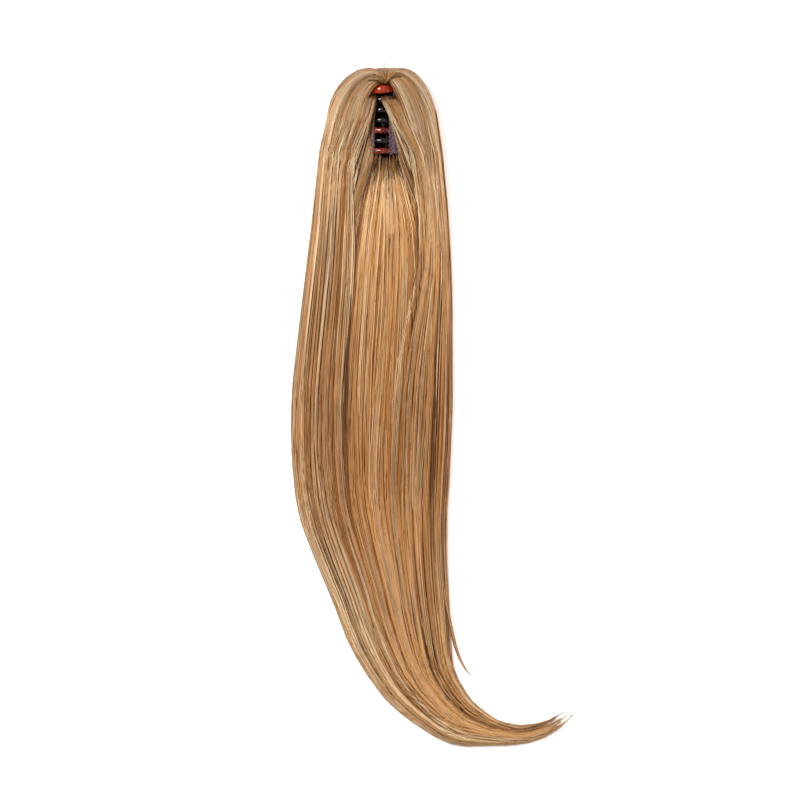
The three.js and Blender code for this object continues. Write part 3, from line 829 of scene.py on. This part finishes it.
def add_wrap(lot, rng, side):
    level = spaced(rng, WRAPS)
    share = np.clip(1 - 0.42 * level + rng.normal(0, 0.015, WRAPS), 0, 1)
    overlap = rng.uniform(0, OVERLAP, WRAPS) if side > 0 else np.zeros(WRAPS)
    inset = rng.uniform(0.0006, 0.0022, WRAPS) + 0.1 * overlap
    head_steps = np.linspace(0, 1, WRAP_SEGMENTS + 1)
    steps = body_steps(rng, WRAPS, 11)
    ends = LENGTH * rng.uniform(0.6, 0.78, WRAPS)
    path, _, along = curtain_paths(share, side, inset, ends, head_steps, steps)
    height = (0.0008 + 0.0445 * level)[:, None]
    front = CROWN_RISE - np.interp(height, SECTIONS[FRONT, 3], AT[FRONT]) - inset[:, None]
    middle = 0.0022 - side * 0.0006 - overlap[:, None] + rng.normal(0, 0.0006, (WRAPS, 1))
    t = head_steps[None]
    join = path[:, WRAP_SEGMENTS]
    reach = 1 - 0.25 * level[:, None]
    x = bezier((middle, middle + side * 0.011, side * 0.037 * reach, join[:, :1]), t)
    y = bezier((front, front + 0.0008, 0.0325 + 0 * front, join[:, 1:2]), t)
    z = height + (join[:, 2:3] - height) * smooth(t)
    path[:, :WRAP_SEGMENTS + 1] = np.stack([x, y, z], -1)
    tones = mixed_tones(rng, 0.52 + 0.09 * np.sin(level * 57 + side))
    add_strands(lot, rng, path, 0.13 + 0.87 * along, tones, WRAP_STRAND)


# Hairs sewn to the net beside the clip
def add_shoulder(lot, rng, side, count, tone):
    share = rng.random(count) ** 1.4
    inset = rng.uniform(-0.0002, 0.0012, count)
    ends = LENGTH * rng.uniform(0.6, 0.8, count)
    head_steps = np.linspace(0, 1, 8)
    steps = body_steps(rng, count, 12)
    path, place, along = shoulder_paths(share, side, inset, ends, head_steps, steps)
    lock = np.zeros(count, int)
    path = shifted(rng, path, place, lock, rng.normal(0, 0.0006, count), 0 * share, 0.0, 0.0008)
    mean = tone + 0.2 * np.sin(share * 37) + rng.normal(0, 0.09, count)
    add_strands(lot, rng, path, along, mixed_tones(rng, mean))


# Back section: an upper and a lower layer of locks. Columns: locks, strands in one, inset, thickness of a
# lock, painted shade that darkens the lower layer.
BACK_LAYERS = ((24, 34, 0.0, 0.0016, 0.0), (16, 20, 0.002, 0.0016, 0.12))
BACK_SEGMENTS = 19


def add_back(lot, rng):
    def make_paths(share, inset, ends):
        return back_paths(share, inset, ends, body_steps(rng, len(share), BACK_SEGMENTS))

    for sizes in BACK_LAYERS:
        add_locks(lot, rng, BACK_STYLE, make_paths, TONES_BACK, TAIL_MIX[0], *sizes)
    add_shoulder(lot, rng, -1, 220, 0.53)
    add_sprouts(lot, rng, 80)


# Short dark hairs about the clip's lower end, where the back section comes out
def add_sprouts(lot, rng, count):
    across = rng.uniform(-1, 1, count)
    across = np.sign(across) * np.abs(across) ** 0.45
    root_x = 0.0015 + 0.0115 * across
    root_y = -0.0235 + 0.003 * np.abs(across) + rng.normal(0, 0.0012, count)
    lean = 0.7 * across + rng.normal(0, 0.3, count)
    reach = rng.uniform(0.004, 0.013, count)
    t = np.linspace(0, 1, 8)[None]
    x = root_x[:, None] + (reach * np.sin(lean))[:, None] * t
    y = root_y[:, None] - (reach * np.cos(lean))[:, None] * t**1.3
    distance = np.clip(CROWN_RISE - y, BACK_ROOT, None)
    middle_x, _, half, top = section_at(distance)
    sunk = np.interp(distance, *BACK_DEPTHS)
    surface = dome(np.abs(x - middle_x) / half, top) - sunk * top
    lift = rng.uniform(0.0002, 0.0018, (count, 1)) * np.sin(t * math.pi)
    path = np.stack([x, y, surface + lift - 0.0008 * (1 - t)], -1)
    tones = np.clip(rng.normal(0.28, 0.15, count), 0.02, 0.8)
    add_strands(lot, rng, path, 0.008 + 0.12 * t + 0 * x, tones, 0.0003, 0.1)


# Under layer: hairs inside the curtains, which lie low under the claw so that its lever can move, and
# hairs in three levels on the floor. Columns: height, strands.
UNDER, UNDER_STRAND, UNDER_SEGMENTS = 400, 0.00055, 17
UNDER_SHARES = ((0, 4 / 17, 7 / 17, 1), (0, 0.18, 0.52, 1))
LOW_HEIGHT, LOW_UNTIL = 0.0055, 0.118
FLOOR_SHARES = ((0, 0.22, 0.4, 1), (0, 0.09, 0.52, 1))
FLOOR_LEVELS = ((0.0005, 200), (0.0018, 150), (0.0036, 110))
FLOOR_STRAND = 0.00052


def add_under(lot, rng):
    steps = body_steps(rng, UNDER, UNDER_SEGMENTS, UNDER_SHARES)
    ends = LENGTH * rng.uniform(0.7, 0.82, UNDER)
    distance = 0.004 + (ends[:, None] - 0.004) * steps
    turn = math.pi * spaced(rng, UNDER)[:, None] + 0 * distance
    head = smooth((LOW_UNTIL - distance) / 0.04)
    top = section_at(distance)[3]
    path = on_hair(distance, turn, rng.uniform(0.0035, 0.006, (UNDER, 1)))
    path[..., 2] *= 1 - head * (1 - LOW_HEIGHT / top)
    lock = np.zeros(UNDER, int)
    wander = rng.normal(0, 0.0012, UNDER)
    path = shifted(rng, path, distance, lock, wander, 0 * wander, 0.0, 0.0009)
    # Painted shade: the hairs inside the curtains get a dark tone, so that the gaps between the strands
    # above read dark
    add_strands(lot, rng, path, 0.05 + steps, mixed_tones(rng, np.full(UNDER, 0.3)), UNDER_STRAND)
    for level, count in FLOOR_LEVELS:
        add_floor_hairs(lot, rng, level, count)


def add_floor_hairs(lot, rng, level, count):
    steps = body_steps(rng, count, UNDER_SEGMENTS, FLOOR_SHARES)
    ends = LENGTH * rng.uniform(0.88, 0.98, count)
    distance = 0.0035 + (ends[:, None] - 0.0035) * steps
    middle_x, middle_y, half, top = section_at(distance)
    narrower = 0.15 * np.clip(0.022 - half, 0, 0.008)
    wide = (spaced(rng, count)[:, None] * 2 - 1) * (half - 0.0015 - narrower)
    head_x, head_y = heading_at(distance)
    wide = wide + 0.0009 * wave(phases(rng, (count, 1)), distance, 0.2)
    x, y = middle_x - wide * head_y, middle_y + wide * head_x
    z = level + rng.uniform(0, 0.0012, (count, 1)) + 0 * x
    path = np.stack([x, y, np.minimum(z, top * 0.4)], -1)
    add_strands(lot, rng, path, 0.05 + steps, mixed_tones(rng, np.full(count, 0.58)), FLOOR_STRAND)


# Dark short hairs that fan out from the parting over the front of the crown. More than half of them keep
# near the middle.
FAN, FAN_NEAR = 170, 0.55
FAN_ROOT, FAN_REACH = (2.0, 26.0), (0.018, 0.0112)
FAN_BENDS = ((0.003, 0.013), (0.006, 0.0115))
FAN_Z = 0.0462


def add_parting(lot, rng):
    near = rng.random(FAN) < FAN_NEAR
    angle = np.radians(np.where(near, rng.uniform(-46, 18, FAN), rng.uniform(-76, 64, FAN)))
    t = np.linspace(0, 1, 9)[None]
    root = np.array(FAN_ROOT) * MM + rng.normal(0, 0.0007, (FAN, 2))
    reach = rng.uniform(0.6, 1.05, FAN)
    plan = []
    for axis, toward in ((0, np.sin(angle)[:, None]), (1, np.cos(angle)[:, None])):
        start = root[:, axis:axis + 1]
        first, second = (start + bend * toward for bend in FAN_BENDS[axis])
        end = start + FAN_REACH[axis] * toward * reach[:, None]
        plan.append(bezier((start, first, second, end), t))
    x, y = plan
    middle_x, _, half, top = section_at(np.clip(CROWN_RISE - y, FIRST_PLACE, None))
    surface = dome(np.clip(np.abs(x - middle_x) / half, 0, 0.97), top) + 0.0012
    z = FAN_Z + (surface - FAN_Z) * smooth(t / 0.5)
    path = np.stack([x, y, z], -1)
    dark = rng.random(FAN) < 0.55
    tones = np.where(dark, rng.uniform(0.02, 0.14, FAN), rng.uniform(0.34, 0.62, FAN))
    span = rng.uniform(0.01, 0.12, (FAN, 1))
    add_strands(lot, rng, path, 0.004 + span * t, tones, STRAND, 0.2)


# Loose lock that leaves the right edge, through places in mm from the clip's middle
WISP = ((38, -300, 9), (43.5, -334, 9), (48, -356, 7), (52.5, -373, 4), (58, -384.5, 2), (63.7, -391.3, 1))


def add_wisp(lot, rng, count):
    wisp = np.array(WISP) * MM
    t = np.linspace(0, 1, 15)
    middle = hermite(t, np.linspace(0, 1, len(wisp)), wisp)
    shift = rng.normal(0, 1, (count, 1, 3)) * np.array((0.0006, 0.0, 0.0008))
    ends = rng.uniform(0.82, 1.0, (count, 1))
    path = [[np.interp(t * end, t, middle[:, k]) for k in range(3)] for end in ends[:, 0]]
    path = np.swapaxes(path, 1, 2) + shift * (1 - 0.75 * t[None, :, None] ** 2)
    along = 0.6 + 0.4 * t[None] + 0 * ends
    add_strands(lot, rng, path, along, mixed_tones(rng, np.full(count, 0.42)), 0.0003, 0.1)


# Single hairs that stand off the outline
def add_outline_hairs(lot, rng, count):
    side = np.where(rng.random(count) < 0.5, -1, 1)
    start = rng.uniform(0.02, 0.5, count)
    span = rng.uniform(0.07, 0.2, count)
    t = np.linspace(0, 1, 12)[None]
    distance = np.minimum(start[:, None] + span[:, None] * t, LENGTH)
    turn = np.where(side > 0, 0.0, math.pi)[:, None] + side[:, None] * rng.uniform(0.05, 0.9, (count, 1))
    stand = rng.uniform(0.0003, 0.0018, (count, 1)) * np.sin(t * math.pi * 0.9) - 0.0008
    path = on_hair(distance, turn, -stand)
    along = 0.1 + 0.9 * distance / LENGTH
    add_strands(lot, rng, path, along, mixed_tones(rng, np.full(count, 0.6)), 0.00014, 0.4)


# Fine hairs that fly away over the front of the crown
def add_flyaways(lot, rng, count):
    t = np.linspace(0, 1, 10)[None, :, None]
    root = np.array((0.002, 0.026, PARTING_Z)) + rng.normal(0, 0.0008, (count, 1, 3))
    lean = rng.uniform(-0.9, 0.9, (count, 1, 1))
    reach = rng.uniform(0.012, 0.018, (count, 1, 1))
    up = root + np.concatenate([lean * 0.003, 0.003 + 0 * lean, 0.004 + 0 * lean], -1)
    forward = 0.9 - 0.3 * np.abs(lean)
    out = root + np.concatenate([lean * 0.8, forward, 0.35 + 0 * lean], -1) * reach * 0.8
    drop = rng.uniform(-0.9, 0.1, (count, 1, 1))
    end = root + np.concatenate([lean, 1 - 0.4 * np.abs(lean), drop], -1) * reach
    path = bezier((root, up, out, end), t)
    along = 0.05 + 0.3 * t[..., 0] + 0 * path[..., 0]
    add_strands(lot, rng, path, along, mixed_tones(rng, np.full(count, 0.4)), 0.00013, 0.3)


def add_stray(lot, rng):
    add_wisp(lot, rng, 22)
    add_outline_hairs(lot, rng, 150)
    add_flyaways(lot, rng, 30)


# Net: threads both ways over the jaw, with thicker cords that the hair is sewn to
def build_net(name, side, material):
    radius = NET_OUTER - 0.0005
    lot = Lot()
    low, high = NET_LOW[1] + 0.001, NET_HIGH[1] - 0.001
    loose = CLIP_Y + 0.006
    spans = ((-66, 57, low, high, 30, 17), (57, 64 if side < 0 else 71, low, loose, 19, 4))

    def arc(angles, y):
        x = CLIP_X + side * np.cos(angles) * radius
        return np.stack([x, y, CLAW_Z + np.sin(angles) * radius], -1)

    for first, last, start, end, rows, columns in spans:
        around = np.radians(np.linspace(first, last, max(6, (last - first) // 3)))
        ys = np.linspace(start, end, rows)
        loops = np.stack([arc(around, y + 0.0006 * np.sin(around * 9 + k)) for k, y in enumerate(ys)])
        lot.add(*tubes(loops, np.full(loops.shape[:2], 0.00024), 5)[:2])
        lengthwise = np.linspace(start, end, 48)
        for k, angle in enumerate(np.radians(np.linspace(first, last, columns))):
            wobble = angle + 0.03 * np.sin((lengthwise - start) * 2100 + k)
            line = arc(wobble, lengthwise)[None]
            thickness = 0.00042 if k % 3 == 1 else 0.00024
            lot.add(*tubes(line, np.full(line.shape[:2], thickness), 6)[:2])
    return lot.make(name, material)


# Teeth: smooth shells over the jaw's own teeth, by turns from the left jaw and the right, grown a little.
# Amber is each tooth's share of it from the crown down, and the amber teeth get a painted shade toward
# their tips. A tooth's sizes are its width and reach.
TOOTH_AMBER = (0.62, 0.0, 0.1, 0.0, 0.42, 0.05, 0.44)
TEETH = len(TOOTH_AMBER)
WIDE_TOOTH, TOOTH = (0.007, 0.0082), (0.0047, 0.0069)
TOOTH_START = math.radians(16)


def build_teeth(name, side, material):
    wall, taper, sections, sides = 0.0022, 0.7, 40, 24
    grown = 0.0001
    lot = Lot()
    for k in range(0 if side < 0 else 1, TEETH, 2):
        width, reach = WIDE_TOOTH if k == 0 else TOOTH
        middle_y = CLIP_Y + CLIP_LENGTH / 2 - CLIP_LENGTH / TEETH * (k + 0.5)
        share = np.linspace(0, 1, sections + 1)[:, None]
        angle = TOOTH_START + (math.pi / 2 + math.asin(reach / CLAW_RADIUS) - TOOTH_START) * share
        tip = np.clip(5 * share - 4, 0, 1)
        blunt = np.sqrt(np.clip(1 - tip**2, 0.03, 1))
        half_width = width / 2 * (1 - (1 - taper) * share) * blunt + grown
        half_wall = wall / 6 * (1 + 2 * blunt) + grown
        turn = np.linspace(0, 2 * math.pi, sides, endpoint=False)[None]
        radius = CLAW_RADIUS - wall / 2 + np.cos(turn) * half_wall
        x = CLIP_X + side * np.cos(angle) * radius
        y = middle_y + np.sin(turn) * half_width
        z = CLAW_Z + np.sin(angle) * radius
        corners = np.stack([x, y, z], -1).reshape(-1, 3)
        index = np.arange(len(corners)).reshape(sections + 1, sides)
        after = np.roll(index, -1, axis=1)
        quads = np.stack([index[:-1], after[:-1], after[1:], index[1:]], -1)
        ends = [index[0][None, ::-1], index[-1][None]]
        if side > 0:
            quads = quads[..., ::-1]
            ends = [end[:, ::-1] for end in ends]
        amber = TOOTH_AMBER[k]
        # Painted shade: the amber teeth darken toward their tips, which curve down on the side away from
        # the key light
        tip_shade = 0.3 if k == 0 else 0.14 if amber > 0.2 else 0.0
        u = amber - tip_shade * share + 0.03 * np.cos(turn)
        spots = np.stack([u, 0.1 * k + share + 0 * turn], -1).reshape(-1, 2)
        faces = [quads.reshape(-1, 4), ends[0], ends[1]]
        lot.add(corners, faces, [spots[face] for face in faces])
    return lot.make(name, material)


# Spring: the coil about the pin with a leg along each lever, which winds up as the jaw opens
def build_spring(name, material):
    spread = math.radians(24)
    coil_radius, wire, loops = 0.0022, 0.0004, 5
    leg_out = 0.0001
    lever = 0.0125
    bend = coil_radius - leg_out
    leg = ((0.76, 0.0), (0.6, 0.0), (0.47, 0.0), (0.38, 0.3), (0.24, 0.7), (0.1, 0.98))
    half = (SPRING_HIGH[1] - SPRING_LOW[1]) / 2 - wire

    def beside(share, out, y, side):
        down, away = lever * share, leg_out + bend * out
        x = math.sin(spread) * down + math.cos(spread) * away
        return (CLIP_X + side * x, CLIP_Y + y, HINGE_Z - math.cos(spread) * down + math.sin(spread) * away)

    points = [beside(share, out, -half, -1) for share, out in leg]
    first = -(spread + math.pi / 2)
    last = spread + math.pi / 2 - 2 * math.pi * loops
    for k in range(24 * loops + 1):
        share = k / (24 * loops)
        turn = first + (last - first) * share
        points.append((CLIP_X + math.sin(turn) * coil_radius, CLIP_Y - half + 2 * half * share,
                       HINGE_Z - math.cos(turn) * coil_radius))
    points += [beside(share, out, half, 1) for share, out in reversed(leg)]
    curve = bpy.data.curves.new(name, "CURVE")
    curve.dimensions = "3D"
    spline = curve.splines.new("POLY")
    spline.points.add(len(points) - 1)
    for point, place in zip(spline.points, points):
        point.co = (*place, 1)
    curve.bevel_depth, curve.bevel_resolution = wire, 3
    curve.use_fill_caps = True
    wire_object = added(name + "_curve", curve)
    bpy.context.view_layer.update()
    mesh = bpy.data.meshes.new_from_object(wire_object.evaluated_get(bpy.context.evaluated_depsgraph_get()))
    bpy.data.objects.remove(wire_object)
    mesh.materials.clear()
    mesh.materials.append(material)
    mesh.polygons.foreach_set("use_smooth", np.ones(len(mesh.polygons), bool))
    return added(name, mesh)


def dress(node, material):
    thing = frame["nodes"][node]
    thing.data.materials.clear()
    thing.data.materials.append(material)


def build_stage():
    bpy.ops.mesh.primitive_plane_add(size=6.0, location=(0, 0, -0.0002))
    floor = bpy.context.object
    floor.name = "floor"
    floor.data.materials.append(Tree("floor").shade({
        "Base Color": (0.93, 0.93, 0.93, 1), "Roughness": 0.9,
        "Emission Color": (1, 1, 1, 1), "Emission Strength": 0.18,
    }))


def add_light(name, place, target, size, power):
    light = bpy.data.lights.new(name, "AREA")
    light.shape = "RECTANGLE"
    light.size, light.size_y = size
    light.energy = power
    thing = added(name, light)
    thing.location = place
    thing.rotation_euler = (Vector(target) - Vector(place)).to_track_quat("-Z", "Y").to_euler()


def build_lights():
    add_light("key", (-0.75, 0.55, 1.25), (0, 0.05, 0), (0.5, 0.7), 16.5)
    add_light("glint", (-0.5, 0.42, 1.3), (0, 0.1, 0), (0.5, 0.07), 6)
    add_light("fill", (1.1, -0.1, 0.8), (0, 0, 0), (1.0, 1.0), 11)
    world = bpy.data.worlds.new("studio")
    world.use_nodes = True
    background = world.node_tree.nodes["Background"]
    background.inputs["Color"].default_value = (1, 1, 1, 1)
    background.inputs["Strength"].default_value = 0.62
    bpy.context.scene.world = world
    bpy.context.scene.view_settings.view_transform = "Standard"


def build_camera():
    data = bpy.data.cameras.new("camera")
    data.lens, data.sensor_width = LENS, SENSOR
    camera = added("camera", data)
    x = CLIP_X + (IMAGE_MIDDLE[0] - CLIP_PIXEL[0]) * PIXEL
    y = CLIP_Y + (CLIP_PIXEL[1] - IMAGE_MIDDLE[1]) * PIXEL
    camera.location = (x, y, IMAGE_WIDTH * PIXEL * LENS / SENSOR + HAIR_HIGH[2] / 2)
    bpy.context.scene.camera = camera


build_camera()
hair = hair_material()
shell = shell_material()
steel = steel_material()
net = net_material()

for node in ("jaw_left", "jaw_right"):
    dress(node, shell)
dress("hinge_pin", steel)

spring = build_spring("torsion_spring", steel)
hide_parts("spring")
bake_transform(spring)

SIDES = ((-1, "left", FIXED), (1, "right", MOVING))
for side, word, body in SIDES:
    piece = build_net(f"weft_net_{word}", side, net)
    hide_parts(f"net_{word}")
    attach(piece, body)

teeth = tooth_material()
for side, word, body in SIDES:
    piece = build_teeth(f"teeth_{word}", side, teeth)
    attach(piece, body)

# Columns: layer, then segments of the loop and the length, locks, strands in one, inset, thickness of a
# lock, painted shade that darkens the inner layer
CURTAINS = (
    ("outer", ((12, 18), 24, 44, 0.0, 0.0016, 0.0)),
    ("inner", ((8, 12), 20, 36, 0.0022, 0.0024, 0.14)),
)
for side, tone_rows, node in ((-1, TONES_LEFT, "hair_left"), (1, TONES_RIGHT, "hair_right")):
    for layer, (word, sizes) in enumerate(CURTAINS):
        lot, rng = Lot(), np.random.default_rng(20 + side + 5 * layer)
        add_curtain(lot, rng, side, tone_rows, *sizes)
        if word == "inner":
            add_wrap(lot, rng, side)
            if side > 0:
                add_shoulder(lot, rng, side, 110, 0.4)
        piece = lot.make(f"curtain_{'left' if side < 0 else 'right'}_{word}", hair)
        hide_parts(node)
        if side < 0:
            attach(piece, FIXED)
        else:
            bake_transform(piece)

FIXED_HAIR = (
    ("back_section", add_back, 41), ("under_layer", add_under, 42), ("parting_roots", add_parting, 43),
    ("stray_hairs", add_stray, 44),
)
for name, add_hairs, seed in FIXED_HAIR:
    lot = Lot()
    add_hairs(lot, np.random.default_rng(seed))
    piece = lot.make(name, hair)
    if name in ("back_section", "under_layer"):
        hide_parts("hair_length")
    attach(piece, FIXED)

build_stage()
build_lights()
